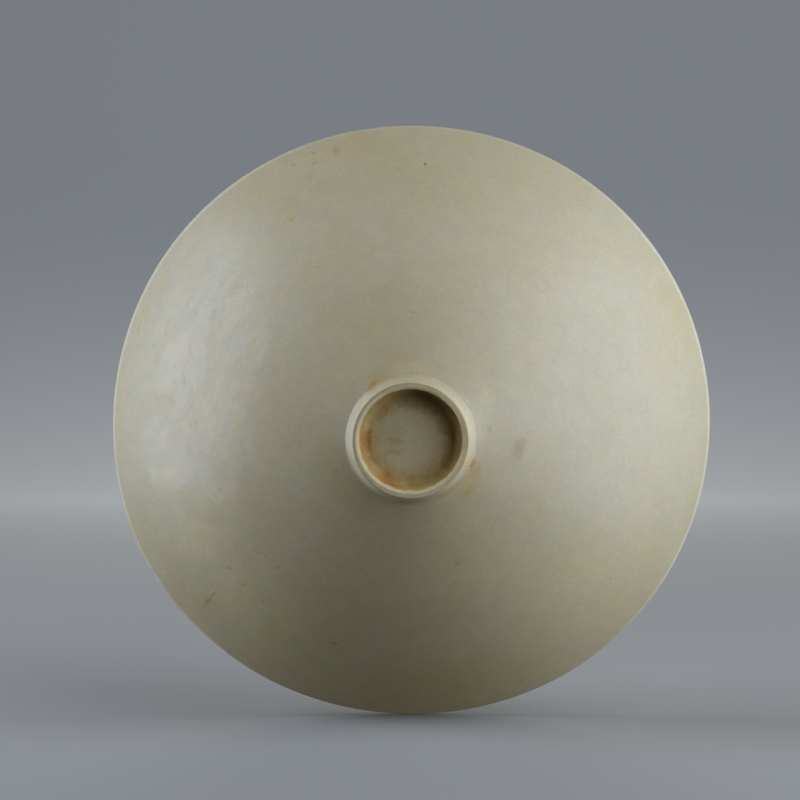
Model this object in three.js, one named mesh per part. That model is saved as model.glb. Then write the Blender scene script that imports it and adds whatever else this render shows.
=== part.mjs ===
// A wide conical porcelain bowl on a small turned foot ring, with an ivory glaze
// inside, outside and in the foot's recess. The foot's resting edge is left bare.
// Millimetres, +Z up along the bowl's axis, origin at the centre of the resting face.
import * as THREE from "three";

// The whole bowl
const RIM_DIAMETER = 200;
const BOWL_HEIGHT = 66;
const GLAZE_THICKNESS = 0.35;
const GLAZE_GAP = 0.05;
const SAME_POINT = GLAZE_GAP / 10;

// The outer wall leaves the foot at one slope and reaches the lip at a steeper one
const WALL_SLOPE_AT_FOOT = 22;
const WALL_SLOPE_AT_LIP = 54;

// The lip is a narrow round bead between the outer and the inner wall
const LIP_RADIUS = 1.2;
const INNER_SLOPE_AT_LIP = 52;

// The inside comes down to a small round well
const WELL_RADIUS = 12;
const WELL_FLOOR_HEIGHT = 8.5;
const INNER_SLOPE_AT_WELL = 12;

// The foot ring: a bare flat edge, bevelled inwards, between two glazed sides
const RESTING_INNER_DIAMETER = 34.2;
const RESTING_OUTER_DIAMETER = 36.2;
const OUTER_BEVEL = 0.2;
const INNER_BEVEL_WIDTH = 1.05;
const INNER_BEVEL_HEIGHT = 0.55;
const FOOT_OUTER_SLOPE = 68;
const FOOT_FILLET_RADIUS = 1.4;

// The recess inside the ring narrows towards its floor
const RECESS_DEPTH = 5;
const RECESS_WALL_SLOPE = 75;
const RECESS_FILLET_RADIUS = 2.4;

// Colours, and how matt each surface is
const PORCELAIN_CREAM = 0xe6e1d3;
const BARE_EDGE_GREY = 0xb3aa9b;
const OUTER_IVORY = 0xc9c3aa;
const INNER_IVORY = 0xd0cab2;
const RECESS_GREEN_GREY = 0x8f8870;
const PORCELAIN_ROUGHNESS = 0.6;
const BARE_EDGE_ROUGHNESS = 0.75;
const SATIN_ROUGHNESS = 0.4;

// Facets
const STEPS_ROUND_AXIS = 60;
const STEPS_ALONG_WALL = 9;
const STEPS_IN_WELL = 3;
const STEPS_IN_FILLET = 3;
const STEPS_ON_LIP = 3;

// The ring is joined to the body on one level plane, the height of the recess floor under its glaze
const UNDER_GLAZE = GLAZE_THICKNESS + GLAZE_GAP;
const JOINT_HEIGHT = RECESS_DEPTH + UNDER_GLAZE;

// Profiles are lists of points (radius, height) that keep the porcelain on their left:
// across the recess floor, down its wall, over the resting edge, up the foot and the
// wall, round the lip and down the inside to the axis.
const point = (radius, height) => new THREE.Vector2(radius, height);
const headingOf = (degrees) => point(Math.cos(radians(degrees)), Math.sin(radians(degrees)));
const leftOf = (direction) => point(-direction.y, direction.x);

function radians(degrees) {
  return THREE.MathUtils.degToRad(degrees);
}

// The point at a distance from another, along a heading in degrees
function ahead(start, heading, distance) {
  return start.clone().addScaledVector(headingOf(heading), distance);
}

// A round stretch that starts at a point and turns from one heading to another
function roundStretch(start, fromHeading, toHeading, radius, steps) {
  const side = Math.sign(toHeading - fromHeading);
  const centre = start.clone().addScaledVector(leftOf(headingOf(fromHeading)), side * radius);
  const points = [];
  for (let step = 0; step <= steps; step += 1) {
    const heading = THREE.MathUtils.lerp(fromHeading, toHeading, step / steps);
    points.push(centre.clone().addScaledVector(leftOf(headingOf(heading)), -side * radius));
  }
  return points;
}

// A gently curved stretch between two points that has a given heading at each of them
function curvedStretch(start, startHeading, end, endHeading, steps) {
  const first = headingOf(startHeading);
  const last = headingOf(endHeading);
  const between = end.clone().sub(start);
  const reach = between.cross(last) / first.cross(last);
  const corner = start.clone().addScaledVector(first, reach);
  return new THREE.QuadraticBezierCurve(start, corner, end).getPoints(steps);
}

// One profile from several stretches, with the points that they share kept once
function joined(...stretches) {
  const points = [];
  for (const next of stretches.flat()) {
    const last = points.at(-1);
    if (last === undefined || last.distanceTo(next) > SAME_POINT) {
      points.push(next);
    }
  }
  return points;
}

// The same profile moved into the porcelain by a depth, measured square to the surface
function beneath(profile, depth) {
  const directions = [];
  for (let index = 0; index < profile.length - 1; index += 1) {
    directions.push(profile[index + 1].clone().sub(profile[index]).normalize());
  }
  return profile.map((place, index) => {
    const before = directions[Math.max(index - 1, 0)];
    const after = directions[Math.min(index, directions.length - 1)];
    const middle = leftOf(before).add(leftOf(after)).normalize();
    const mitre = depth / middle.dot(leftOf(after));
    return place.clone().addScaledVector(middle, mitre);
  });
}

// Turned about the axis, which the lathe has along Y and the bowl has along Z
function turned(name, profile, material) {
  const geometry = new THREE.LatheGeometry(profile, STEPS_ROUND_AXIS);
  geometry.rotateX(radians(90));
  const mesh = new THREE.Mesh(geometry, material);
  mesh.name = name;
  return mesh;
}

function ceramic(colour, roughness) {
  return new THREE.MeshStandardMaterial({ color: colour, roughness, metalness: 0 });
}

// Glaze surface in the recess: the floor from the axis, a round corner, and the wall
function recessSurface() {
  const bevelTop = point(RESTING_INNER_DIAMETER / 2 - INNER_BEVEL_WIDTH, INNER_BEVEL_HEIGHT);
  const cornerRise = RECESS_FILLET_RADIUS * (1 - Math.cos(radians(RECESS_WALL_SLOPE)));
  const cornerRun = RECESS_FILLET_RADIUS * Math.sin(radians(RECESS_WALL_SLOPE));
  const wallRise = RECESS_DEPTH - bevelTop.y - cornerRise;
  const wallRun = wallRise / Math.tan(radians(RECESS_WALL_SLOPE));
  const floorEdge = point(bevelTop.x - wallRun - cornerRun, RECESS_DEPTH);
  return {
    floor: [point(0, RECESS_DEPTH), floorEdge],
    wall: joined(
      roundStretch(floorEdge, 0, -RECESS_WALL_SLOPE, RECESS_FILLET_RADIUS, STEPS_IN_FILLET),
      [bevelTop],
    ),
  };
}

// Glaze surface up the outside of the foot, to the end of its fillet under the wall
function footSurface() {
  const start = point(RESTING_OUTER_DIAMETER / 2 + OUTER_BEVEL, OUTER_BEVEL);
  const filletRise = FOOT_FILLET_RADIUS
    * (Math.cos(radians(WALL_SLOPE_AT_FOOT)) - Math.cos(radians(FOOT_OUTER_SLOPE)));
  const filletTop = JOINT_HEIGHT - UNDER_GLAZE * Math.cos(radians(WALL_SLOPE_AT_FOOT));
  const sideRise = filletTop - filletRise - start.y;
  const filletStart = ahead(start, FOOT_OUTER_SLOPE, sideRise / Math.sin(radians(FOOT_OUTER_SLOPE)));
  return joined(
    [start],
    roundStretch(filletStart, FOOT_OUTER_SLOPE, WALL_SLOPE_AT_FOOT, FOOT_FILLET_RADIUS, STEPS_IN_FILLET),
  );
}

// Glaze surface of the outer wall, from the foot's fillet to the top of the lip
function outerWallSurface(start) {
  const lipCentre = point(RIM_DIAMETER / 2 - LIP_RADIUS, BOWL_HEIGHT - LIP_RADIUS);
  const wallTop = ahead(lipCentre, WALL_SLOPE_AT_LIP - 90, LIP_RADIUS);
  return joined(
    curvedStretch(start, WALL_SLOPE_AT_FOOT, wallTop, WALL_SLOPE_AT_LIP, STEPS_ALONG_WALL),
    roundStretch(wallTop, WALL_SLOPE_AT_LIP, 90, LIP_RADIUS, STEPS_ON_LIP),
    roundStretch(ahead(lipCentre, 0, LIP_RADIUS), 90, 180, LIP_RADIUS, STEPS_ON_LIP),
  );
}

// Glaze surface of the inside, from the top of the lip to the middle of the well
function innerWallSurface() {
  const top = point(RIM_DIAMETER / 2 - LIP_RADIUS, BOWL_HEIGHT);
  const lipHeading = 180 + INNER_SLOPE_AT_LIP;
  const wellHeading = 180 + INNER_SLOPE_AT_WELL;
  const lip = roundStretch(top, 180, lipHeading, LIP_RADIUS, STEPS_ON_LIP);
  const wellArcRadius = WELL_RADIUS / Math.sin(radians(INNER_SLOPE_AT_WELL));
  const wellRise = wellArcRadius * (1 - Math.cos(radians(INNER_SLOPE_AT_WELL)));
  const wellEdge = point(WELL_RADIUS, WELL_FLOOR_HEIGHT + wellRise);
  return joined(
    lip,
    curvedStretch(lip.at(-1), lipHeading, wellEdge, wellHeading, STEPS_ALONG_WALL),
    roundStretch(wellEdge, wellHeading, 180, wellArcRadius, STEPS_IN_WELL),
  );
}

const recess = recessSurface();
const foot = footSurface();
const outerWall = outerWallSurface(foot.at(-1));
const innerWall = innerWallSurface();

// The body: wall, lip and floor, cut level underneath where the foot ring joins it
function thrownBody() {
  const skin = beneath(joined(outerWall, innerWall), UNDER_GLAZE);
  const cutHeight = JOINT_HEIGHT + GLAZE_GAP;
  const wallStart = skin[0].clone();
  wallStart.x += (cutHeight - wallStart.y) / Math.tan(radians(WALL_SLOPE_AT_FOOT));
  wallStart.y = cutHeight;
  const middle = skin.at(-1);
  middle.x = 0;
  const profile = [point(0, cutHeight), wallStart, ...skin.slice(1)];
  return turned("thrown_body", profile, ceramic(PORCELAIN_CREAM, PORCELAIN_ROUGHNESS));
}

// The foot ring, with its bare resting edge between the two glazed sides
function footRing() {
  const recessEnd = recess.wall.at(-1);
  const bareInner = ahead(recessEnd, -RECESS_WALL_SLOPE, GLAZE_GAP);
  const bareOuter = ahead(foot[0], FOOT_OUTER_SLOPE, -GLAZE_GAP);
  const insideSkin = beneath(recess.wall, UNDER_GLAZE);
  const outsideSkin = beneath(foot, UNDER_GLAZE);
  insideSkin[0] = point(recess.wall[0].x, JOINT_HEIGHT);
  insideSkin[insideSkin.length - 1].addScaledVector(headingOf(-RECESS_WALL_SLOPE), GLAZE_GAP);
  outsideSkin[0].addScaledVector(headingOf(FOOT_OUTER_SLOPE), -GLAZE_GAP);
  outsideSkin[outsideSkin.length - 1].y = JOINT_HEIGHT;
  const profile = [
    ...insideSkin,
    bareInner,
    point(RESTING_INNER_DIAMETER / 2, 0),
    point(RESTING_OUTER_DIAMETER / 2, 0),
    bareOuter,
    ...outsideSkin,
  ];
  return turned("foot_ring", [...profile, profile[0]], ceramic(BARE_EDGE_GREY, BARE_EDGE_ROUGHNESS));
}

// The glaze coat outside: up the foot and the wall, ending on top of the lip
function outerGlaze() {
  const surface = joined(foot, outerWall);
  const back = beneath(surface, GLAZE_THICKNESS).reverse();
  back[0].x = surface.at(-1).x;
  const profile = [...surface, ...back];
  return turned("outer_glaze", [...profile, profile[0]], ceramic(OUTER_IVORY, SATIN_ROUGHNESS));
}

// The glaze coat inside, which meets the outer one on top of the lip
function innerGlaze() {
  const surface = innerWall.map((place) => place.clone());
  surface[0].x -= GLAZE_GAP;
  const back = beneath(surface, GLAZE_THICKNESS).reverse();
  back[0].x = 0;
  back.at(-1).x = surface[0].x;
  surface.at(-1).x = 0;
  return turned("inner_glaze", [...back, ...surface], ceramic(INNER_IVORY, SATIN_ROUGHNESS));
}

// The glaze in the recess: its floor and its wall, down to the bevel of the resting edge
function baseGlaze() {
  const surface = joined(recess.floor, recess.wall);
  const back = beneath(surface, GLAZE_THICKNESS).reverse();
  back.at(-1).x = 0;
  return turned("base_glaze", [...surface, ...back], ceramic(RECESS_GREEN_GREY, SATIN_ROUGHNESS));
}

const bowl = new THREE.Group();
bowl.add(thrownBody(), footRing(), outerGlaze(), innerGlaze(), baseGlaze());

export default bowl;
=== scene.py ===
# A conical porcelain bowl with a satin ivory glaze, on a small turned foot, dressed piece by
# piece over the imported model. The camera looks at the bowl's underside.
import math

import bpy
from mathutils import Matrix, Vector


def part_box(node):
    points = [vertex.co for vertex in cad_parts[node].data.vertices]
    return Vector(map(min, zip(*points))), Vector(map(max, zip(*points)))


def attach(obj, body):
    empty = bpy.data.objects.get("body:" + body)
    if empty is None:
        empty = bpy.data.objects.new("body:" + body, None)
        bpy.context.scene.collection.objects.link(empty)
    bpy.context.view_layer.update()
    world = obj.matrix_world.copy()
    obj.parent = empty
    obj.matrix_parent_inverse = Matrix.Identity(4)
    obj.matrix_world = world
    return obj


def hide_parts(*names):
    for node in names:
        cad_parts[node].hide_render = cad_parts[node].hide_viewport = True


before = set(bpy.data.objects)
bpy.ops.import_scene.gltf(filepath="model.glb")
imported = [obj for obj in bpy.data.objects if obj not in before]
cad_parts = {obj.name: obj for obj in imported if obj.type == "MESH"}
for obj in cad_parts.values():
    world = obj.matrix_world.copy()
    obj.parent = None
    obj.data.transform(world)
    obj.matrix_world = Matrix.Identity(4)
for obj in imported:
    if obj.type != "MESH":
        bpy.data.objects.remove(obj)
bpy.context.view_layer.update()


# The thrown body. One porcelain wall, thrown as a wide cone with a thick middle and a slim
# round lip, then turned leather-hard. Glaze covers all of it. In the kiln it settled a little
# out of round, and every coat follows it, so the shaping tools for all pieces stand here.
MM = 0.001

# Sizes in mm and slopes in degrees. The clay lies UNDER_GLAZE below the glazed surface, and the
# foot stands on the flat ring between the radii RESTING_INNER and RESTING_OUTER.
RIM_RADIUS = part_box("outer_glaze")[1][0] / MM
BOWL_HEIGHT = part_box("outer_glaze")[1][2] / MM
JOINT_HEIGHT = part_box("foot_ring")[1][2] / MM
UNDER_GLAZE = 0.4
LIP_RADIUS = 1.2
WALL_SLOPE_AT_FOOT = 22
WALL_SLOPE_AT_LIP = 54
INNER_SLOPE_AT_LIP = 52
INNER_SLOPE_AT_WELL = 12
WELL_RADIUS = 12
WELL_FLOOR = 8.5
RESTING_INNER = 17.1
RESTING_OUTER = 18.1

# How near two points of a section count as one, in mm, and into how many steps it is cut
SAME_POINT = 0.001
STEPS_ROUND = 240
STEPS_ON_WALL = 72
STEPS_ON_LIP = 10
STEPS_IN_CORNER = 8
STEPS_IN_WELL = 12

# The underside as the camera sees it: one way across the picture and one way up it
ACROSS = Vector((-math.sqrt(0.5), -math.sqrt(0.5), 0))
UPWARD = Vector((-math.sqrt(0.5), math.sqrt(0.5), 0))
ACROSS_TURN = math.atan2(ACROSS.y, ACROSS.x)

# How the kiln left the rim: drawn in, with low waves (how many, their size in mm, and a crest's
# place in degrees from the picture's right) and a bulge (its size in mm, its place, and how far
# it reaches each way in degrees)
DRAWN_IN = 0.5
RIM_WAVES = ((2, 0.54, 4), (3, 0.18, -37), (4, 0.24, 42))
BULGE, BULGE_PLACE, BULGE_REACH = 0.52, 203, 28

# How far the lip dips in mm, how often round the rim, and where the dips start, in radians
LIP_DIP, LIP_DIPS, LIP_DIPS_START = 0.12, 3, 0.7

# The foot's recess was turned a little above the axis as the camera sees it, and came out a
# little wider across the picture than up it, by this share each way
RECESS_UP = 0.31
RECESS_OVAL = 0.008


def direction(degrees):
    """The unit vector (radius, height) of a heading in the section."""
    return Vector((math.cos(math.radians(degrees)), math.sin(math.radians(degrees))))


def left_of(heading):
    """The unit vector to the left of a heading, the side on which the porcelain lies."""
    return direction(heading + 90)


def round_stretch(start, first, last, radius, steps):
    """Points along a round stretch that starts at a point and turns between two headings."""
    side = 1 if last > first else -1
    centre = start + left_of(first) * side * radius
    headings = [first + (last - first) * step / steps for step in range(steps + 1)]
    return [centre - left_of(heading) * side * radius for heading in headings]


def curved_stretch(start, first, end, last, steps):
    """Points along a gentle curve between two points that has a given heading at each end."""
    out, into, span = direction(first), direction(last), end - start
    reach = (span.x * into.y - span.y * into.x) / (out.x * into.y - out.y * into.x)
    corner = start + out * reach
    shares = [step / steps for step in range(steps + 1)]
    return [start * (1 - t) ** 2 + corner * 2 * t * (1 - t) + end * t ** 2 for t in shares]


def joined(*stretches):
    """One section from several stretches, with the points that they share kept once."""
    points = []
    for point in (point for stretch in stretches for point in stretch):
        if not points or (points[-1] - point).length > SAME_POINT:
            points.append(point)
    return points


def beneath(points, depth):
    """The section moved into the porcelain by a depth."""
    ways = [(after - before).normalized() for before, after in zip(points, points[1:])]
    moved = []
    for index, point in enumerate(points):
        before, after = ways[max(index - 1, 0)], ways[min(index, len(ways) - 1)]
        normal = Vector((-before.y - after.y, before.x + after.x)).normalized()
        moved.append(point + normal * depth / normal.dot(Vector((-after.y, after.x))))
    return moved


def swelling(seen):
    """How far the kiln moved the rim outward, at a turn from the picture's right in radians."""
    swell = -DRAWN_IN
    for count, size, crest in RIM_WAVES:
        swell += size * math.cos(count * (seen - math.radians(crest)))
    beside_bulge = (math.degrees(seen) - BULGE_PLACE + 180) % 360 - 180
    if abs(beside_bulge) < BULGE_REACH:
        swell += BULGE * math.cos(math.radians(90 * beside_bulge / BULGE_REACH)) ** 2
    return swell


def settled(radius, height, turn):
    """Where turning and firing left a point of the round form, in metres."""
    share = height / BOWL_HEIGHT
    seen = ACROSS_TURN - turn
    inward = (RESTING_OUTER - radius) / (RESTING_OUTER - RESTING_INNER)
    recessed = min(max(inward, 0), 1) if height <= JOINT_HEIGHT else 0
    oval = recessed * RECESS_OVAL * math.cos(2 * seen)
    radius *= 1 + swelling(seen) * share / RIM_RADIUS + oval
    dip = LIP_DIP * share ** 2 * (0.5 + 0.5 * math.sin(LIP_DIPS * turn + LIP_DIPS_START))
    place = Vector((radius * math.cos(turn), radius * math.sin(turn), height - dip))
    return (place + UPWARD * RECESS_UP * recessed) * MM


def turned(name, section):
    """A closed mesh of a section (radius, height) turned about the bowl's axis."""
    vertices, rings = [], []
    for point in section:
        start = len(vertices)
        count = STEPS_ROUND if point.x > SAME_POINT else 1
        for step in range(count):
            turn = 2 * math.pi * step / STEPS_ROUND
            vertices.append(settled(max(point.x, 0), point.y, turn))
        rings.append([start + step % count for step in range(STEPS_ROUND + 1)])
    on_axis = section[0].x <= SAME_POINT
    pairs = list(zip(rings, rings[1:])) + ([] if on_axis else [(rings[-1], rings[0])])
    faces = []
    for lower, upper in pairs:
        for step in range(STEPS_ROUND):
            corners = (lower[step], lower[step + 1], upper[step + 1], upper[step])
            face = list(dict.fromkeys(corners))
            if len(face) > 2:
                faces.append(face)
    mesh = bpy.data.meshes.new(name)
    mesh.from_pydata(vertices, [], faces)
    mesh.validate()
    piece = bpy.data.objects.new(name, mesh)
    bpy.context.scene.collection.objects.link(piece)
    return piece


def smoothed(piece, angle=35):
    """Smooth shading, with edges sharper than the angle kept crisp."""
    piece.data.shade_smooth()
    piece.data.set_sharp_from_angle(angle=math.radians(angle))


# How far apart the skies of noise lie, and how deep a spot reaches through the bowl, in mm. Noise
# strays about this far from its middle value.
SKY_SPACING = 97
SPOT_DEPTH = 1000
NOISE_SWING = 0.25


class Shade:
    """A value in a material. Sums and products of shades add the Math nodes that work them out."""

    def __init__(self, tree, socket=None):
        self.tree = tree
        self.socket = socket

    def node(self, kind, settings, sockets, output=0):
        """Adds a node of one kind, sets it up and feeds its sockets. Gives one of its outputs."""
        made = self.tree.nodes.new(kind)
        for name, value in settings.items():
            setattr(made, name, value)
        for name, value in sockets.items():
            if isinstance(value, Shade):
                self.tree.links.new(value.socket, made.inputs[name])
            else:
                made.inputs[name].default_value = value
        return Shade(self.tree, made.outputs[output])

    def math(self, operation, *values):
        """What a Math node makes of the values by one operation."""
        return self.node("ShaderNodeMath", {"operation": operation}, dict(enumerate(values)))

    def __add__(self, other):
        return self.math("ADD", self, other)

    def __sub__(self, other):
        return self.math("SUBTRACT", self, other)

    def __mul__(self, other):
        return self.math("MULTIPLY", self, other)

    def __rsub__(self, other):
        return self.math("SUBTRACT", other, self)

    __radd__ = __add__
    __rmul__ = __mul__

    def vector(self, operation, other, output=0):
        """This place joined with another vector by a Vector Math node."""
        both = {0: self, 1: other}
        return self.node("ShaderNodeVectorMath", {"operation": operation}, both, output)

    def rise(self, start, end):
        """0 on the near side of the start, 1 past the end, and a soft step between."""
        limits = {"Value": self, "From Min": start, "From Max": end}
        return self.node("ShaderNodeMapRange", {"interpolation_type": "SMOOTHSTEP"}, limits)

    def stain(self, under, tint):
        """The colour under this shade, multiplied by a tint (red, green, blue) as far as it goes."""
        # A Mix node takes its factor at socket 0 and colours at 6 and 7, and gives one at output 2
        settings = {"data_type": "RGBA", "blend_type": "MULTIPLY"}
        return self.node("ShaderNodeMix", settings, {0: self, 6: under, 7: (*tint, 1)}, 2)

    def patch(self, centre, lean, size):
        """This place seen from a patch's centre, lean in degrees and size in mm."""
        lean = (0, 0, math.radians(lean))
        view = {"Vector": self, "Location": centre, "Rotation": lean, "Scale": size}
        return self.node("ShaderNodeMapping", {"vector_type": "TEXTURE"}, view)

    def noise(self, length, width=None, lean=0, detail=2.0, roughness=0.5, other=0):
        """Noise about 0.5, in clouds of a length and width in mm. other gives another sky."""
        width = width or length
        place = self.patch((other * SKY_SPACING, 0, 0), lean, (length, width, width))
        look = {"Vector": place, "Scale": 1.0, "Detail": detail, "Roughness": roughness}
        return self.node("ShaderNodeTexNoise", {}, look)

    def clouds(self, size, other=0):
        """Soft clouds of a size in mm over about half of the surface."""
        return self.noise(size, other=other).rise(0.35, 0.65)

    def spot(self, across, up, length, width=None, lean=0, edge=1.0):
        """1 in the middle of a spot on the wall and 0 outside it. A small edge makes it crisp."""
        size = (length / 2, (width or length) / 2, SPOT_DEPTH)
        place = self.patch((across, up, 0), lean, size)
        ball = {"gradient_type": "SPHERICAL"}
        return self.node("ShaderNodeTexGradient", ball, {"Vector": place}, 1).rise(0, edge)

    def wobbled(self, size, amount):
        """This place pushed about by noise, so that spots on it get uneven outlines."""
        look = {"Vector": self, "Scale": 1 / size, "Detail": 2.0}
        noise = self.node("ShaderNodeTexNoise", {}, look, "Color")
        push = noise.vector("SUBTRACT", (0.5, 0.5, 0.5))
        return push.vector("MULTIPLY", (amount / NOISE_SWING,) * 3).vector("ADD", self)

    def part(self, axis):
        """How far this place lies across the picture (0), up it (1) or towards the camera (2)."""
        return self.node("ShaderNodeSeparateXYZ", {}, {0: self}, axis)

    def from_point(self, across, up):
        """How far this place lies from a point, as the camera sees it, in mm."""
        apart = self.vector("SUBTRACT", (across, up, 0)).vector("MULTIPLY", (1, 1, 0))
        return apart.vector("LENGTH", (0, 0, 0), "Value")


def finish(name, roughness):
    """A new material. Gives it, its surface shader, and the place in mm as (across, up, near)."""
    material = bpy.data.materials.new(name)
    material.use_nodes = True
    surface = material.node_tree.nodes["Principled BSDF"]
    surface.inputs["Roughness"].default_value = roughness
    coordinates = Shade(material.node_tree).node("ShaderNodeTexCoord", {}, {}, "Object")
    seen = Matrix((ACROSS, UPWARD, ACROSS.cross(UPWARD))).to_euler()
    turn = {"Vector": coordinates, "Rotation": seen, "Scale": (1 / MM,) * 3}
    return material, surface, coordinates.node("ShaderNodeMapping", {}, turn)


def paint(surface, **shades):
    """Links shades to the sockets of a surface shader, given by names with _ for a space."""
    for name, shade in shades.items():
        shade.tree.links.new(shade.socket, surface.inputs[name.replace("_", " ")])


def relief(height, depth):
    """A bump from a height between 0 and 1 that stands for a depth in millimetres."""
    bump = {"Height": height, "Distance": depth * MM, "Strength": 1.0}
    return height.node("ShaderNodeBump", {}, bump)


def dressed(piece, material, node):
    """Gives a piece its material and slot, and sets it on the bowl in place of its plain node."""
    piece.data.materials.append(material)
    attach(piece, "root")
    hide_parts(node)


lip_centre = Vector((RIM_RADIUS - LIP_RADIUS, BOWL_HEIGHT - LIP_RADIUS))
lip_top = lip_centre + Vector((0, LIP_RADIUS))
wall_top = lip_centre - left_of(WALL_SLOPE_AT_LIP) * LIP_RADIUS

# The wall starts where the foot's outer side ends, so that side comes first
FOOT_OUTER_SLOPE = 68
FOOT_FILLET = 2.4
OUTER_BEVEL = 0.2
foot_start = Vector((RESTING_OUTER + OUTER_BEVEL, OUTER_BEVEL))
fillet_top = JOINT_HEIGHT - UNDER_GLAZE * direction(WALL_SLOPE_AT_FOOT).x
fillet_rise = FOOT_FILLET * (direction(WALL_SLOPE_AT_FOOT).x - direction(FOOT_OUTER_SLOPE).x)
side_rise = fillet_top - fillet_rise - foot_start.y
side_way = direction(FOOT_OUTER_SLOPE)
fillet_start = foot_start + side_way * side_rise / side_way.y
foot_side = joined(
    [foot_start],
    round_stretch(fillet_start, FOOT_OUTER_SLOPE, WALL_SLOPE_AT_FOOT, FOOT_FILLET, STEPS_IN_CORNER),
)
outer_wall = joined(
    curved_stretch(foot_side[-1], WALL_SLOPE_AT_FOOT, wall_top, WALL_SLOPE_AT_LIP, STEPS_ON_WALL),
    round_stretch(wall_top, WALL_SLOPE_AT_LIP, 180, LIP_RADIUS, STEPS_ON_LIP),
)
lip_heading = 180 + INNER_SLOPE_AT_LIP
well_heading = 180 + INNER_SLOPE_AT_WELL
inner_lip = round_stretch(lip_top, 180, lip_heading, LIP_RADIUS, STEPS_ON_LIP)
well_way = direction(INNER_SLOPE_AT_WELL)
well_arc = WELL_RADIUS / well_way.y
well_edge = Vector((WELL_RADIUS, WELL_FLOOR + well_arc * (1 - well_way.x)))
inner_wall = joined(
    inner_lip,
    curved_stretch(inner_lip[-1], lip_heading, well_edge, well_heading, STEPS_ON_WALL),
    round_stretch(well_edge, well_heading, 180, well_arc, STEPS_IN_WELL),
)

# The body's flat underside stands this far above its joint with the foot ring, in mm
ABOVE_JOINT = 0.05
body_skin = beneath(joined(outer_wall, inner_wall), UNDER_GLAZE)
body_skin[-1].x = 0
underside = JOINT_HEIGHT + ABOVE_JOINT
wall_way = direction(WALL_SLOPE_AT_FOOT)
body_skin[0] += wall_way * (underside - body_skin[0].y) / wall_way.y
body = turned("bowl_body", [Vector((0, underside))] + body_skin)
smoothed(body)

# The fired clay's colour, its faint clouds and its grain, with sizes in mm
BISCUIT = (0.70, 0.67, 0.60, 1)
BISCUIT_ROUGHNESS = 0.7
BISCUIT_CLOUDS = 9
BISCUIT_TINT = (0.87, 0.85, 0.82)
BISCUIT_GRAIN = 0.6
GRAIN_DEPTH = 0.02

material, surface, place = finish("biscuit_porcelain", BISCUIT_ROUGHNESS)
paint(
    surface,
    Base_Color=place.clouds(BISCUIT_CLOUDS).stain(BISCUIT, BISCUIT_TINT),
    Normal=relief(place.noise(BISCUIT_GRAIN, detail=4), GRAIN_DEPTH),
)
dressed(body, material, "thrown_body")


# The foot ring. Turned from the base with a slanting outer side and a wide inner bevel. Its
# resting edge was wiped clean of glaze before firing, so it shows bare body, grey with use.
INNER_BEVEL_WIDTH = 1.05
INNER_BEVEL_HEIGHT = 0.55
RECESS_WALL_SLOPE = 75
RECESS_CORNER = 2.4
RECESS_DEPTH = 5.0

bevel_top = Vector((RESTING_INNER - INNER_BEVEL_WIDTH, INNER_BEVEL_HEIGHT))
recess_way = direction(RECESS_WALL_SLOPE)
corner_rise = RECESS_CORNER * (1 - recess_way.x)
corner_run = RECESS_CORNER * recess_way.y
wall_rise = RECESS_DEPTH - bevel_top.y - corner_rise
wall_run = wall_rise * recess_way.x / recess_way.y
floor_edge = Vector((bevel_top.x - wall_run - corner_run, RECESS_DEPTH))
recess_wall = joined(
    round_stretch(floor_edge, 0, -RECESS_WALL_SLOPE, RECESS_CORNER, STEPS_IN_CORNER),
    [bevel_top],
)

inside = beneath(recess_wall, UNDER_GLAZE)
outside = beneath(foot_side, UNDER_GLAZE)
inside[0].y = JOINT_HEIGHT
outside[-1].y = JOINT_HEIGHT
resting_edge = joined(
    [bevel_top, Vector((RESTING_INNER, 0)), Vector((RESTING_OUTER, 0)), foot_start],
)
ring = turned("turned_foot", joined(inside, resting_edge, outside))
smoothed(ring, angle=15)

# The bare body's colour and grit, the tints that turning and handling gave its parts, and painted
# light on it: the bevel painted paler, partly as if lit, a painted highlight on the bevel, and the
# ring's right side painted lighter. With a tint go the size of its clouds, or the places between
# which it sets in, all in mm.
BARE_EDGE = (0.61, 0.535, 0.335, 1)
BARE_ROUGHNESS = 0.7
GRIT = (0.90, 0.90, 0.92)
GRIT_SIZE = 0.5
HANDLED = (0.90, 0.88, 0.90)
HANDLED_CLOUDS = 5
BEVEL_PALE_AND_LIGHT = (1.2, 1.18, 1.02)
BEVEL_EDGE = (RESTING_INNER + 0.2, RESTING_INNER - 0.2)
BEVEL_HIGHLIGHT = (1.25, 1.27, 1.3)
BEVEL_HIGHLIGHT_SPOT = (9, 14, 40, 22, 150)
RIGHT_SIDE_LIGHT = (1.15, 1.13, 1.04)
RIGHT_SIDE_LIGHT_EDGE = (3, 15)
OUTER_DIRT = (0.68, 0.65, 0.66)
OUTER_DIRT_EDGE = (RESTING_OUTER - 0.3, RESTING_OUTER - 0.05)
OUTER_DIRT_SIDE = (20, -10)
INNER_DIRT = (0.66, 0.59, 0.46)
INNER_DIRT_EDGE = (bevel_top.x + 0.35, bevel_top.x + 0.1)
INNER_DIRT_CLOUDS = 2.4

material, surface, place = finish("bare_foot", BARE_ROUGHNESS)
grit = place.noise(GRIT_SIZE, detail=3, roughness=0.7)
colour = grit.rise(0.35, 0.7).stain(BARE_EDGE, GRIT)
colour = place.noise(HANDLED_CLOUDS).rise(0.4, 0.7).stain(colour, HANDLED)
from_recess = place.from_point(0, RECESS_UP)
# The bevel is painted paler, partly a paler body and partly painted light, with a painted highlight
# up and to the right
bevel = from_recess.rise(*BEVEL_EDGE)
colour = bevel.stain(colour, BEVEL_PALE_AND_LIGHT)
colour = (bevel * place.spot(*BEVEL_HIGHLIGHT_SPOT)).stain(colour, BEVEL_HIGHLIGHT)
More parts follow.
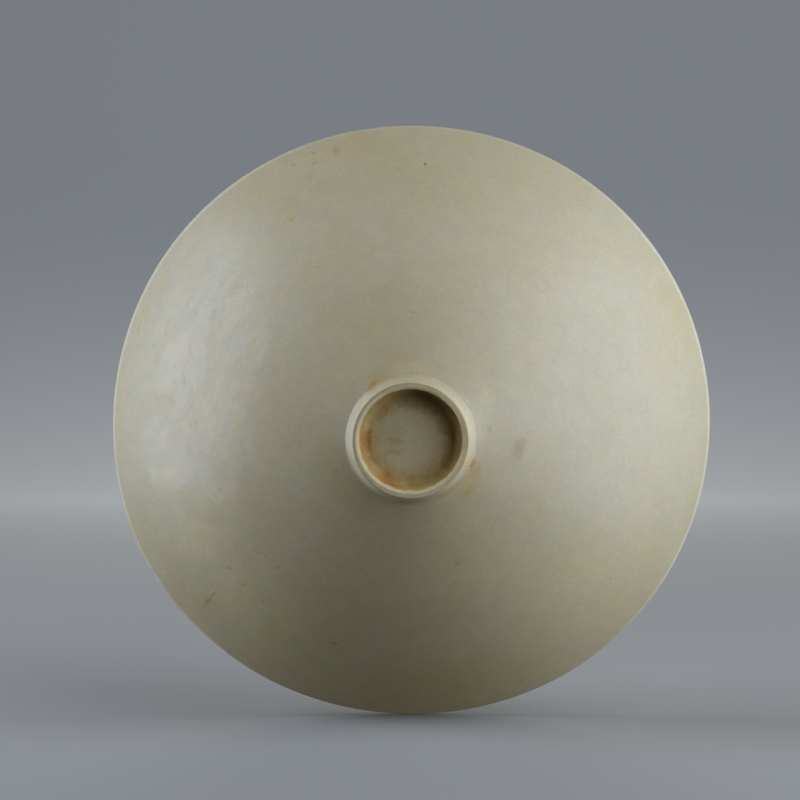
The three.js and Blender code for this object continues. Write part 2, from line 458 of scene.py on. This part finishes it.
# Painted light: the ring's right side is painted lighter
rightward = place.part(0)
colour = rightward.rise(*RIGHT_SIDE_LIGHT_EDGE).stain(colour, RIGHT_SIDE_LIGHT)
outer_edge = place.from_point(0, 0).rise(*OUTER_DIRT_EDGE)
colour = (outer_edge * rightward.rise(*OUTER_DIRT_SIDE)).stain(colour, OUTER_DIRT)
inner_edge = from_recess.rise(*INNER_DIRT_EDGE)
dirty = place.noise(INNER_DIRT_CLOUDS, other=1).rise(0.35, 0.55)
colour = (inner_edge * dirty).stain(colour, INNER_DIRT)
paint(surface, Base_Color=colour, Normal=relief(grit, GRAIN_DEPTH))
dressed(ring, material, "foot_ring")


# The outer glaze. One satin ivory coat, from the foot's outer side over the wall to the top
# of the lip, thin and pale on the lip. Long use left specks, scratches and rust wisps on it.
# Painted light and shade lie on it too: patches, highlights round the foot and along the lip.
GLAZE = 0.35
surface_line = joined(foot_side, outer_wall)
glaze_back = beneath(surface_line, GLAZE)
glaze_back[-1].x = surface_line[-1].x
outer_coat = turned("outer_coat", surface_line + glaze_back[::-1])
smoothed(outer_coat)

# The glaze's colour and how matt it is, how much that changes and over what size in mm, and the
# size and depth of the soft waves in its surface
IVORY = (0.563, 0.510, 0.325, 1)
SATIN = 0.395
SATIN_CHANGE = 0.08
SATIN_CLOUDS = 4
WAVE_SIZE = 5
WAVE_DEPTH = 0.03

# The mottle in the glaze: the size of its clouds in mm, and their tint
MOTTLE = (
    (0.5, (0.955, 0.955, 0.955)),
    (1.0, (0.95, 0.95, 0.955)),
    (2.4, (1.0, 0.965, 0.90)),
    (6, (0.95, 0.965, 1.0)),
    (16, (1.0, 0.975, 0.93)),
)

# How uneven the outlines of patches, of wiped marks and of small marks are: the size of the noise
# that pushes them about, and how far it pushes them, in mm
DRIFTING = (16, 4)
WIPED = (5, 1.5)
RAGGED = (1.5, 0.4)

# Broad patches where the coat is thicker, thinner or stained, and patches of painted light and
# shade, marked below: a place across and up from the middle, a length and width in mm, a lean in
# degrees, and a tint
PATCHES_AND_PAINTED_LIGHT = (
    (-12, 62, 80, 46, 0, (1.06, 1.07, 1.13)),
    (-40, 5, 50, 85, -10, (0.92, 0.91, 0.86)),
    # Painted shade, with a yellower tint: darker below and left of the foot
    (-22, -17, 40, 34, 0, (0.92, 0.93, 0.85)),
    # Painted highlight: a bluish-white brightening in the highlight on the left
    (-57, 18, 28, 66, -15, (1.06, 1.07, 1.13)),
    (55, 72, 110, 60, -30, (1.01, 1.02, 1.04)),
    (-84, 8, 26, 70, 0, (0.94, 0.93, 0.89)),
    (-68, 42, 66, 56, 0, (0.93, 0.93, 0.92)),
    # Painted light: a bright patch low on the left
    (-71, -31, 36, 50, 30, (1.19, 1.18, 1.15)),
    # Painted light, this row and the next two: a brighter band low on the wall
    (-52, -55, 60, 46, -40, (1.07, 1.07, 1.01)),
    (8, -44, 100, 46, 0, (1.08, 1.09, 1.05)),
    (58, -48, 84, 60, 35, (1.09, 1.07, 1.01)),
    # Painted shade, with a yellower tint: darker low on the wall by the rim
    (16, -86, 96, 40, 8, (0.92, 0.93, 0.81)),
    (-35, -70, 56, 34, -30, (0.97, 1.01, 0.93)),
    (52, 22, 70, 84, 0, (0.96, 0.97, 1.0)),
    (23, 24, 18, 44, -8, (0.95, 0.955, 0.94)),
    # Painted highlight: a whitish patch right of the foot
    (22, 9, 15, 36, 12, (1.12, 1.13, 1.15)),
    (-1.5, 21.5, 24, 8, 0, (1.14, 1.11, 1.01)),
    # Painted highlight: a bluish-white patch in the highlight on the left
    (-80, -12, 26, 22, 20, (1.04, 1.05, 1.09)),
    (86, 34, 20, 44, 22, (1.02, 0.98, 0.92)),
    (89, 26.0, 9, 9, 0, (1.05, 1.08, 1.16)),
    (77.5, 48.5, 8, 7, 0, (1.04, 1.06, 1.11)),
    (-14, 91, 30, 9, 6, (0.99, 0.955, 0.86)),
    (-73, -58, 26, 12, -40, (1.0, 0.96, 0.86)),
    # Painted highlights, this row and the next three: bluish-white streaks and patches on the left
    (-48.5, 27, 28, 8, 68, (1.07, 1.08, 1.11)),
    (-56, 5, 34, 12, 78, (1.06, 1.07, 1.09)),
    (-61, -18, 20, 15, 20, (1.07, 1.07, 1.09)),
    (-85, -16, 9, 7, 20, (1.05, 1.06, 1.10)),
    (-70, -27, 30, 9, -10, (0.955, 0.95, 0.925)),
    # Painted highlight: a bluish-white spot in the highlight on the left
    (-84, 0, 7, 12, 0, (1.04, 1.05, 1.08)),
    (-27, -5, 18, 36, 0, (0.965, 0.94, 0.89)),
    (-35, -27, 18, 18, 0, (0.97, 0.95, 0.92)),
    (7, -27, 44, 16, 0, (1.07, 1.06, 1.05)),
    (-5, 70, 16, 6, 86, (1.0, 0.975, 0.89)),
    (20.6, 73, 18, 8, 80, (1.0, 0.975, 0.90)),
    (15, 55, 12, 9, 0, (1.0, 0.975, 0.89)),
    (5.3, 53.6, 9, 7, 0, (1.0, 0.975, 0.91)),
    (-38.5, 73, 16, 4, 86, (1.0, 0.96, 0.86)),
    (15.4, 33.4, 10, 6, 20, (1.0, 0.97, 0.88)),
    (34, 83, 30, 12, -20, (1.0, 0.985, 0.93)),
    (38, 43, 14, 3, 22, (1.02, 1.03, 1.05)),
    (46, 44.5, 9, 3, 0, (1.02, 1.03, 1.05)),
    # Painted light: brighter low on the left
    (-60, -49, 22, 24, 0, (1.05, 1.06, 1.06)),
    (-36, -76, 76, 24, -22, (0.99, 1.0, 0.94)),
    (24, -82, 66, 24, 10, (0.98, 0.97, 0.92)),
    # Painted shade: darker along the bottom of the rim
    (24, -94, 60, 12, 12, (0.94, 0.95, 0.93)),
    (8, 31.3, 14, 4, 5, (1.0, 0.97, 0.88)),
    (-4, 27, 14, 9, 0, (1.0, 0.97, 0.89)),
    (9, 22.5, 11, 7, -20, (1.0, 0.97, 0.89)),
)

# A milky film, painted as bluish-white highlight patches, wiped streaks and brown dabs in the satin
# on the left. The film's marks and the left side are given like the patches, and the streaks and
# dabs by a length and width in mm.
FILM_AND_HIGHLIGHT = (1.05, 1.06, 1.095)
FILM_AND_HIGHLIGHT_MARKS = (
    (-71, -14, 24, 12, -12),
    (-80.0, -17.0, 15, 8.0, -6),
    (-84, -3, 15, 10, 78),
    (-62, -19, 13, 9, 20),
    (-63, 8, 30, 11, 72),
    (-78, 22, 26, 9, 62),
    (-58, 38, 24, 9, 58),
)
LEFT_SIDE = (-66, 20, 76, 120)
WIPED_LEAN = 62
STREAK = (0.97, 0.93, 0.84)
STREAK_SIZE = (15, 6)
DAB = (0.93, 0.88, 0.78)
DAB_SIZE = (8, 3)

# Small marks of use and firing on the outside, given like the patches, with one tint for a kind
YELLOW = (1.01, 0.95, 0.79)
YELLOW_MARKS = (
    (18.1, -14.5, 12, 8.0, 50),
    (17.9, -8.4, 9, 4.6, 65),
    (10.5, -16.8, 9, 4.5, 30),
    (-10.5, 19.0, 10, 6.0, 45),
)
BROWN = (0.87, 0.84, 0.68)
BROWN_MARKS = (
    (15.0, -40.7, 3.2, 2.6, 20),
    (12.4, -34.3, 2.2, 1.6, 0),
    (-43.2, -43.7, 2.4, 1.9, 0),
    (-48.4, -56.5, 1.9, 1.6, 0),
    (-32.5, 89.8, 2.4, 1.8, 0),
    (-32.0, 86.5, 2.4, 1.8, 30),
    (-39.0, 86.0, 1.8, 1.4, 0),
    (-38.9, 68.0, 1.8, 1.4, 0),
)
ORANGE = (0.96, 0.87, 0.68)
ORANGE_MARKS = (
    (-24.4, 90.4, 4.4, 3.4, 70),
    (-25.2, 91.2, 2.8, 2.2, 30),
    (-47.2, -40.0, 4.6, 1.2, 127),
    (-49.6, -39.2, 4.2, 1.2, 120),
    (-51.4, -38.0, 2.2, 1.0, 100),
    (-54.2, -50.6, 4.4, 1.2, 35),
    (-68.2, -59.4, 3.4, 2.6, 50),
    (20.4, -9.6, 8.0, 5.0, 60),
    (18.0, -17.0, 4.0, 2.0, 30),
)
GREY = (0.87, 0.86, 0.84)
GREY_MARKS = (
    (37.4, -85.6, 2.6, 2.0, 0),
    (25.0, 3.3, 2.6, 1.6, 63),
    (65.6, -49.5, 1.8, 1.5, 0),
    (-81.1, -50.2, 2.2, 1.7, 47),
    (-73.9, 16.5, 6.0, 1.3, 93),
    (-84.5, 26.9, 4.8, 1.1, 46),
    (-90.5, 32.2, 4.2, 1.3, 70),
    (-64.2, 38.7, 2.8, 1.2, 90),
    (-55.0, 59.8, 1.5, 1.3, 0),
    (-23.7, -10.6, 4.0, 1.3, 58),
)
SMUDGE = (0.91, 0.90, 0.875)
SMUDGE_MARKS = (
    (34.7, -2.0, 6.0, 4.4, 60),
    (33.9, -4.6, 7.0, 5.2, 80),
    (34.4, -3.2, 10.0, 7.0, 70),
)
RUST = (0.88, 0.72, 0.56)
RUST_MARKS = (
    (-65.8, -56.0, 8.0, 1.3, 51),
    (-67.5, -58.2, 2.6, 1.9, 51),
    (-12.2, 16.6, 7.0, 3.0, 50),
    (-25.0, -70.1, 4.0, 1.5, 173),
    (-59.5, -45.2, 2.0, 1.7, 0),
    (19.6, -7.4, 4.0, 2.2, 65),
    (19.3, -8.4, 1.8, 1.2, 60),
    (0.6, 39.6, 1.6, 1.2, 0),
)
SCRATCH = (1.10, 1.11, 1.16)
SCRATCHES = (
    (-9.6, -63.8, 2.4, 1.7, 0),
    (-74.3, -58.9, 2.7, 1.4, 98),
    (-77.6, -51.2, 2.4, 1.5, 0),
    (17.4, 12.3, 5.0, 0.9, 128),
    (-70.0, 14.3, 3.0, 1.0, 60),
    (-61.8, -21.0, 6.0, 0.8, -48),
    (-53.5, 48.5, 5.0, 0.8, 50),
    (-51.0, 46.0, 4.0, 0.7, 55),
)
SPECK = (0.52, 0.48, 0.46)
SPECKS = ((4.5, 86.3, 1.3, 1.1, 0),)
ALL_MARKS = (
    (YELLOW, YELLOW_MARKS),
    (BROWN, BROWN_MARKS),
    (ORANGE, ORANGE_MARKS),
    (GREY, GREY_MARKS),
    (SMUDGE, SMUDGE_MARKS),
    (RUST, RUST_MARKS),
    (SCRATCH, SCRATCHES),
    (SPECK, SPECKS),
)

# The coat round the foot, painted with light and shade: a painted highlight on the flank, painted
# shade in the crease on the left, and painted shade in the fold on the right with a painted
# highlight in a ring outside it. With each tint go the radii between which it sets in or fades, and
# the places across the picture between which its side starts, in mm.
FLANK_HIGHLIGHT = (1.06, 1.07, 1.01)
FLANK_HIGHLIGHT_END = (19.7, 18.7)
CREASE_SHADE = (0.94, 0.92, 0.85)
CREASE_SHADE_START, CREASE_SHADE_END = (19.5, 20.0), (21.4, 20.5)
CREASE_SHADE_SIDE = (13, -4)
CREASE_SHADE_CLOUDS = 3
FOLD_SHADE = (0.92, 0.92, 0.925)
FOLD_SHADE_START, FOLD_SHADE_END = (19.3, 20.0), (20.6, 21.3)
FOLD_SHADE_SIDE = (5, 14)
OUTSIDE_FOLD_HIGHLIGHT = (1.05, 1.05, 1.06)
OUTSIDE_FOLD_HIGHLIGHT_END = (25, 21.6)

# The thin pale coat on the lip, partly a paler coat and partly a painted highlight: where it sets
# in, in mm towards the camera, where it fades out low in the picture, and where it grows to the
# left and, by a smaller share, to the right. The middle keeps a least share of it.
LIP_PALE_AND_HIGHLIGHT = (1.20, 1.24, 1.42)
LIP_START = (-62.9, -63.4)
LIP_LOW_FADE = (-92, -66)
LIP_LEFT, LIP_RIGHT = (-20, -75), (48, 86)
LIP_RIGHT_SHARE, LIP_LEAST_SHARE = 0.85, 0.2


def mottled(place, first_sky):
    """The ivory glaze with its mottle. Each coat starts at a sky of its own."""
    colour = IVORY
    for sky, (size, tint) in enumerate(MOTTLE, start=first_sky):
        colour = place.clouds(size, other=sky).stain(colour, tint)
    return colour


def satin(place, sky):
    """How matt the glaze is from place to place, and the soft waves in its surface."""
    matt = (place.noise(SATIN_CLOUDS, other=sky) - 0.5) * SATIN_CHANGE + SATIN
    waves = relief(place.noise(WAVE_SIZE, other=sky + 1), WAVE_DEPTH)
    return {"Roughness": matt, "Normal": waves}


material, surface, place = finish("ivory_glaze", SATIN)
colour = mottled(place, 0)
drifting = place.wobbled(*DRIFTING)
# Coat patches, and patches of painted light and shade
for *spot, tint in PATCHES_AND_PAINTED_LIGHT:
    colour = drifting.spot(*spot).stain(colour, tint)
ragged = place.wobbled(*RAGGED)
wiped = place.wobbled(*WIPED)
left_side = drifting.spot(*LEFT_SIDE)
# The film's painted highlight patches
for mark in FILM_AND_HIGHLIGHT_MARKS:
    colour = wiped.spot(*mark, edge=0.35).stain(colour, FILM_AND_HIGHLIGHT)
streaks = wiped.noise(*STREAK_SIZE, lean=WIPED_LEAN, other=5).rise(0.45, 0.57)
colour = (streaks * left_side).stain(colour, STREAK)
dabs = wiped.noise(*DAB_SIZE, lean=WIPED_LEAN, other=8).rise(0.58, 0.72)
colour = (dabs * left_side).stain(colour, DAB)
for tint, marks in ALL_MARKS:
    for mark in marks:
        colour = ragged.spot(*mark, edge=0.7).stain(colour, tint)
out = place.from_point(0, 0)
rightward, upward, nearness = (place.part(axis) for axis in range(3))
# Painted highlight on the flank, painted shade in the crease and the fold, painted highlight outside
# the fold
colour = out.rise(*FLANK_HIGHLIGHT_END).stain(colour, FLANK_HIGHLIGHT)
crease_shade = out.rise(*CREASE_SHADE_START) * out.rise(*CREASE_SHADE_END) * rightward.rise(*CREASE_SHADE_SIDE)
broken = wiped.noise(CREASE_SHADE_CLOUDS, other=9).rise(0.3, 0.5)
colour = (crease_shade * broken).stain(colour, CREASE_SHADE)
fold_side = rightward.rise(*FOLD_SHADE_SIDE)
past_fold = out.rise(*FOLD_SHADE_END)
colour = (out.rise(*FOLD_SHADE_START) * (1 - past_fold) * fold_side).stain(colour, FOLD_SHADE)
colour = (past_fold * out.rise(*OUTSIDE_FOLD_HIGHLIGHT_END) * fold_side).stain(colour, OUTSIDE_FOLD_HIGHLIGHT)
# The lip's pale coat with its painted highlight
lip = nearness.rise(*LIP_START) * upward.rise(*LIP_LOW_FADE)
sides = rightward.rise(*LIP_LEFT) + rightward.rise(*LIP_RIGHT) * LIP_RIGHT_SHARE + LIP_LEAST_SHARE
colour = (lip * sides).stain(colour, LIP_PALE_AND_HIGHLIGHT)
paint(surface, Base_Color=colour, **satin(place, 6))
dressed(outer_coat, material, "outer_glaze")


# The inner glaze. The same ivory coat poured inside, from the top of the lip to the well, where
# it pooled and fired a shade deeper.
inner_line = list(inner_wall)
inner_back = beneath(inner_line, GLAZE)
inner_back[0].x = inner_line[0].x
inner_back[-1].x = 0
inner_line[-1].x = 0
inner_coat = turned("inner_coat", inner_back[::-1] + inner_line)
smoothed(inner_coat)

# The tint of the pooled glaze, the radii between which it sets in, and the size of the clouds that
# push its edge about and how far they push it, in mm
POOLED = (0.96, 0.975, 0.94)
POOL_EDGE = (17, 11)
POOL_CLOUDS, POOL_DRIFT = 9, 4

material, surface, place = finish("inner_ivory_glaze", SATIN)
radius = place.from_point(0, 0) + place.noise(POOL_CLOUDS, other=16) * POOL_DRIFT
colour = radius.rise(*POOL_EDGE).stain(mottled(place, 10), POOLED)
paint(surface, Base_Color=colour, **satin(place, 17))
dressed(inner_coat, material, "inner_glaze")


# The recess glaze. A thin pale coat on the floor and wall inside the foot, where damp and
# handling left a rust-brown stain all round the corner.
recess_line = joined([Vector((0, RECESS_DEPTH))], [floor_edge], recess_wall)
recess_back = beneath(recess_line, GLAZE)
recess_back[0].x = 0
recess_coat = turned("recess_coat", recess_line + recess_back[::-1])
smoothed(recess_coat)

# The coat's colour and mottle, and the stain all round its corner with the blotches in it, given
# like the outer and inner coats'
RECESS_IVORY = (0.60, 0.54, 0.335, 1)
RECESS_ROUGHNESS = 0.6
RECESS_MOTTLE = (
    (0.9, (0.93, 0.93, 0.94)),
    (3, (0.98, 0.95, 0.88)),
)
UNEVEN = (2.2, 0.8)
CORNER = (0.88, 0.79, 0.58)
CORNER_EDGE = (9.5, 16)
CORNER_CLOUDS, CORNER_DRIFT = 5, 4
BLOTCH = (0.91, 0.84, 0.72)
BLOTCH_CLOUDS = 3.2

# Single stains in the recess, and patches of painted shadow and light marked below, given like the
# outer coat's patches
CORNER_STAINS_AND_PAINTED_LIGHT = (
    (-14.0, -3.0, 34, 9, 100, (0.97, 0.84, 0.66)),
    (-13.8, -0.2, 12, 4.8, 90, (0.78, 0.57, 0.32)),
    (-15.4, 1.0, 16, 3.0, 95, (0.90, 0.72, 0.48)),
    (-7.0, -12.8, 12, 4.8, 150, (0.80, 0.56, 0.34)),
    (-8.0, -13.0, 20, 8, 150, (0.97, 0.86, 0.68)),
    (-10.0, 12.5, 22, 12, 40, (0.86, 0.79, 0.62)),
    # Painted shadow at the top right of the recess
    (8.0, 14.0, 40, 17, 150, (0.50, 0.50, 0.54)),
    (13.4, 4.0, 12, 4.5, 100, (1.12, 0.84, 0.66)),
    (10.5, 4.0, 9, 6.0, 105, (0.86, 0.86, 0.74)),
    # Painted shadow at the top of the recess, with a brown stain in it
    (0.5, 13.0, 18, 12, 0, (0.70, 0.68, 0.57)),
    (-7.0, 1.0, 16, 20, 0, (0.86, 0.87, 0.84)),
    (11.5, -6.5, 9, 5.5, 60, (0.88, 0.80, 0.62)),
    # Painted light: a bluish-white patch low on the recess's right
    (14.0, -7.8, 9, 3.2, 60, (1.28, 1.36, 1.46)),
    (-12.5, -7.5, 9, 5.0, 120, (0.85, 0.84, 0.79)),
    (-13.3, 7.7, 9, 5.0, 60, (0.87, 0.86, 0.81)),
    (-13.9, -5.2, 7, 3.6, 110, (0.86, 0.76, 0.58)),
    # Painted shadow: a dark line by the wall at the top right
    (13.1, 9.2, 14, 2.4, 125, (0.72, 0.70, 0.60)),
    # A dark brown stain with painted shadow on the recess's right
    (15.4, -1.0, 34, 13, 88, (0.58, 0.53, 0.33)),
    (11.0, -11.5, 20, 9, 45, (0.80, 0.72, 0.54)),
    (-1.4, -16.0, 22, 8, 0, (0.97, 0.88, 0.70)),
    (-5.4, -0.3, 9, 2.4, 0, (0.92, 0.84, 0.70)),
    (-5.0, -4.0, 10, 2.4, 3, (0.91, 0.82, 0.68)),
    (-9.0, 8.5, 9, 3.4, 55, (0.90, 0.84, 0.70)),
)

material, surface, place = finish("recess_glaze", RECESS_ROUGHNESS)
colour = RECESS_IVORY
for sky, (size, tint) in enumerate(RECESS_MOTTLE):
    colour = place.clouds(size, other=sky).stain(colour, tint)
uneven = place.wobbled(*UNEVEN)
radius = uneven.from_point(0, RECESS_UP) + place.noise(CORNER_CLOUDS, other=2) * CORNER_DRIFT
corner = radius.rise(*CORNER_EDGE)
colour = corner.stain(colour, CORNER)
blotches = corner * place.noise(BLOTCH_CLOUDS, other=3).rise(0.4, 0.65)
colour = blotches.stain(colour, BLOTCH)
# Stains, and patches of painted shadow and light
for *spot, tint in CORNER_STAINS_AND_PAINTED_LIGHT:
    colour = uneven.spot(*spot, edge=0.8).stain(colour, tint)
paint(surface, Base_Color=colour)
dressed(recess_coat, material, "base_glaze")


# The studio. A pale paper sweep below and behind the bowl as it stands in the photo, and a pale
# round cove for the bowl the right way up. Each shows only to the camera, from its front, and
# blocks no light. Sizes are in metres.
PAPER = (0.35, 0.355, 0.335, 1)
PAPER_ROUGHNESS = 0.9
PAPER_NEAR = -0.9
PAPER_BEND = 0.69
PAPER_BEND_RADIUS = 0.18
PAPER_TOP = 1.3
PAPER_HALF_WIDTH = 2.0
COVE_RADIUS = 1.9
COVE_BEND_RADIUS = 0.4
COVE_TOP = 1.6
STEPS_IN_BEND = 24
HIDDEN_FROM = (
    "visible_diffuse",
    "visible_glossy",
    "visible_transmission",
    "visible_volume_scatter",
    "visible_shadow",
)


def paper_material(name, tone):
    """Plain matt paper that can't be seen from behind."""
    material = bpy.data.materials.new(name)
    material.use_nodes = True
    tree = material.node_tree
    front = tree.nodes["Principled BSDF"]
    front.inputs["Base Color"].default_value = tone
    front.inputs["Roughness"].default_value = PAPER_ROUGHNESS
    front.inputs["Specular IOR Level"].default_value = 0.0
    behind = Shade(tree).node("ShaderNodeNewGeometry", {}, {}, "Backfacing")
    clear = Shade(tree).node("ShaderNodeBsdfTransparent", {}, {})
    sides = {0: behind, 1: Shade(tree, front.outputs[0]), 2: clear}
    seen = Shade(tree).node("ShaderNodeMixShader", {}, sides)
    tree.links.new(seen.socket, tree.nodes["Material Output"].inputs["Surface"])
    return material


def set_in_studio(name, vertices, faces, material):
    """A part of the studio that only the camera sees."""
    mesh = bpy.data.meshes.new(name)
    mesh.from_pydata(vertices, [], faces)
    mesh.shade_smooth()
    mesh.materials.append(material)
    backing = bpy.data.objects.new(name, mesh)
    bpy.context.scene.collection.objects.link(backing)
    for ray in HIDDEN_FROM:
        setattr(backing, ray, False)


def in_picture(across, up, away):
    """The place at distances across and up the picture, and away along the bowl's axis."""
    return ACROSS * across + UPWARD * up + Vector((0, 0, away))


bend = []
for step in range(STEPS_IN_BEND + 1):
    turn = math.radians(90 * step / STEPS_IN_BEND)
    bend.append((1 - math.cos(turn), math.sin(turn)))
floor_level = min(vertex.co.dot(UPWARD) for vertex in outer_coat.data.vertices)
paper_line = [(floor_level, PAPER_NEAR)]
for rise, run in bend:
    up, away = rise * PAPER_BEND_RADIUS, run * PAPER_BEND_RADIUS
    paper_line.append((floor_level + up, PAPER_BEND + away))
paper_line.append((PAPER_TOP, PAPER_BEND + PAPER_BEND_RADIUS))
vertices = []
for up, away in paper_line:
    vertices += [in_picture(PAPER_HALF_WIDTH, up, away), in_picture(-PAPER_HALF_WIDTH, up, away)]
faces = [(2 * row + 1, 2 * row, 2 * row + 2, 2 * row + 3) for row in range(len(paper_line) - 1)]
set_in_studio("paper_sweep", vertices, faces, paper_material("sweep_paper", PAPER))

cove_line = [(0, 0)]
for rise, run in bend:
    cove_line.append((COVE_RADIUS - COVE_BEND_RADIUS * (1 - run), rise * COVE_BEND_RADIUS))
cove_line.append((COVE_RADIUS, COVE_TOP))
vertices, faces = [], []
for radius, height in cove_line:
    for step in range(STEPS_ROUND):
        turn = 2 * math.pi * step / STEPS_ROUND
        vertices.append((radius * math.cos(turn), radius * math.sin(turn), height))
for row in range(len(cove_line) - 1):
    for step in range(STEPS_ROUND):
        after = (step + 1) % STEPS_ROUND
        below, above = row * STEPS_ROUND, (row + 1) * STEPS_ROUND
        faces.append((below + step, above + step, above + after, below + after))
set_in_studio("round_cove", vertices, faces, paper_material("cove_paper", PAPER))


# The light. A tall box on the left, level with the foot's resting edge, and two broad ones on the
# right, the lower one a little nearer the camera and the upper one nearer still. A soft box over
# the open side lights the inside and touches the lip.

# The point that the boxes face and that the camera is set out from, in metres
BOWL_MIDDLE = Vector((0, 0, 0.04))

# Each box: its turn from the picture's right and its angle off the bowl's axis, from below, in
# degrees, its distance and its width and height in metres, its colour, and its power in watts
SOFT_BOXES = (
    ("left_box", 165.9, 86.8, 0.8, (0.39, 0.97), (0.718, 0.795, 1.0), 7.73),
    ("right_upper_box", 42.6, 59.6, 0.8, (0.64, 1.31), (0.897, 0.925, 1.0), 3.75),
    ("right_lower_box", 8.2, 78.5, 0.8, (0.66, 1.19), (0.699, 0.783, 1.0), 7.93),
    ("overhead_box", 90, 175, 0.9, (0.7, 0.7), (0.9, 0.93, 1.0), 6.0),
)

# The dim warm light that comes from all round
ROOM_GLOW = (0.05, 0.04, 0.02, 1)


def placed(right, above, back, place):
    """The placing of a lamp or camera from the ways that its own X, Y and Z axes point."""
    columns = Matrix((right, above, back)).transposed().to_4x4()
    columns.translation = place
    return columns


for name, turn, off_axis, distance, size, colour, power in SOFT_BOXES:
    turn, off_axis = math.radians(turn), math.radians(off_axis)
    sideways = ACROSS * math.cos(turn) + UPWARD * math.sin(turn)
    out = sideways * math.sin(off_axis) - Vector((0, 0, 1)) * math.cos(off_axis)
    data = bpy.data.lights.new(name, "AREA")
    data.shape = "RECTANGLE"
    data.size, data.size_y = size
    data.color = colour
    data.energy = power
    lamp = bpy.data.objects.new(name, data)
    right = UPWARD.cross(out).normalized()
    lamp.matrix_world = placed(right, out.cross(right), out, BOWL_MIDDLE + out * distance)
    lamp.visible_camera = False
    bpy.context.scene.collection.objects.link(lamp)

world = bpy.data.worlds.new("studio")
world.use_nodes = True
bpy.context.scene.world = world
world.node_tree.nodes["Background"].inputs["Color"].default_value = ROOM_GLOW


# The camera, under the bowl and a little above its axis in the picture. Its distance and aim are
# in metres, its angles off the axis in degrees, and its focal length in mm.
LENS_DISTANCE = 1.0
ABOVE_AXIS = 5.218
BESIDE_AXIS = 0.209
AIM_ACROSS = -0.00365
AIM_UP = 0.00961
FOCAL_LENGTH = 137.82

above_axis, beside_axis = math.radians(ABOVE_AXIS), math.radians(BESIDE_AXIS)
towards_camera = (
    UPWARD * math.sin(above_axis) * math.cos(beside_axis)
    + ACROSS * math.sin(beside_axis)
    - Vector((0, 0, 1)) * math.cos(above_axis) * math.cos(beside_axis)
)
eye = BOWL_MIDDLE + towards_camera * LENS_DISTANCE
back = (eye - (BOWL_MIDDLE + ACROSS * AIM_ACROSS + UPWARD * AIM_UP)).normalized()
right = UPWARD.cross(back).normalized()
camera_data = bpy.data.cameras.new("camera")
camera_data.lens = FOCAL_LENGTH
camera = bpy.data.objects.new("camera", camera_data)
camera.matrix_world = placed(right, back.cross(right), back, eye)
bpy.context.scene.collection.objects.link(camera)
bpy.context.scene.camera = camera
bpy.context.scene.view_settings.view_transform = "Standard"
